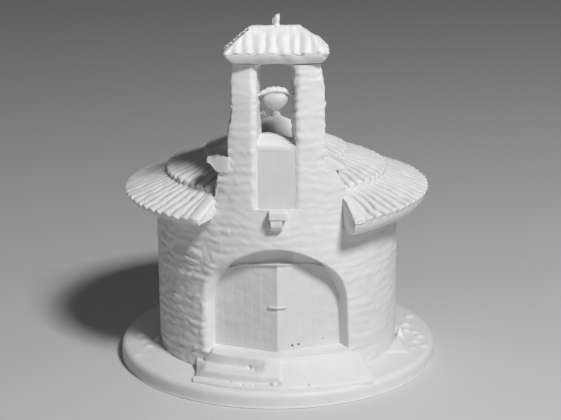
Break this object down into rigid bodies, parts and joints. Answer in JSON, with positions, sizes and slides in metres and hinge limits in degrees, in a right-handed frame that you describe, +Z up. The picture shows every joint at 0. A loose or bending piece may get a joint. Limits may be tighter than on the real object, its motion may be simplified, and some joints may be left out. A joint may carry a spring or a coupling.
{
  "type": "round church desk model",
  "caption": "White plastic desk model of a round stone church: stepped conical tile roof, arched doorway and an open bell gable, on a round base plate that stands on a table.",
  "frame": {"origin": "middle of the underside of the round base plate", "axes": "+Z up, the doorway and the bell gable look along -Y, +X to the right of someone who faces the door"},
  "size_m": [0.06, 0.06, 0.068],
  "materials": {
    "white_plastic": "white printed plastic, matte with a faint sheen and fine level layer lines"
  },
  "bodies": {
    "root": {"base_disc": "white_plastic", "front_curb": "white_plastic", "left_landing": "white_plastic", "middle_step": "white_plastic", "right_apron": "white_plastic", "threshold": "white_plastic", "drum_wall": "white_plastic", "left_door": "white_plastic", "right_door": "white_plastic", "door_post": "white_plastic", "post_capital": "white_plastic", "gable_wall": "white_plastic", "left_shoulder": "white_plastic", "right_shoulder": "white_plastic", "blind_panel": "white_plastic", "corbel_block": "white_plastic", "corbel_slab": "white_plastic", "left_pier": "white_plastic", "right_pier": "white_plastic", "bell_sill": "white_plastic", "bell_yoke": "white_plastic", "bell_cup": "white_plastic", "bell_clapper": "white_plastic", "cap_soffit": "white_plastic", "cap_roof": "white_plastic", "cap_finial": "white_plastic", "eave_cove": "white_plastic", "lower_roof": "white_plastic", "middle_roof": "white_plastic", "top_roof": "white_plastic", "roof_knob": "white_plastic", "left_verge": "white_plastic", "right_verge": "white_plastic"}
  },
  "joints": []
}
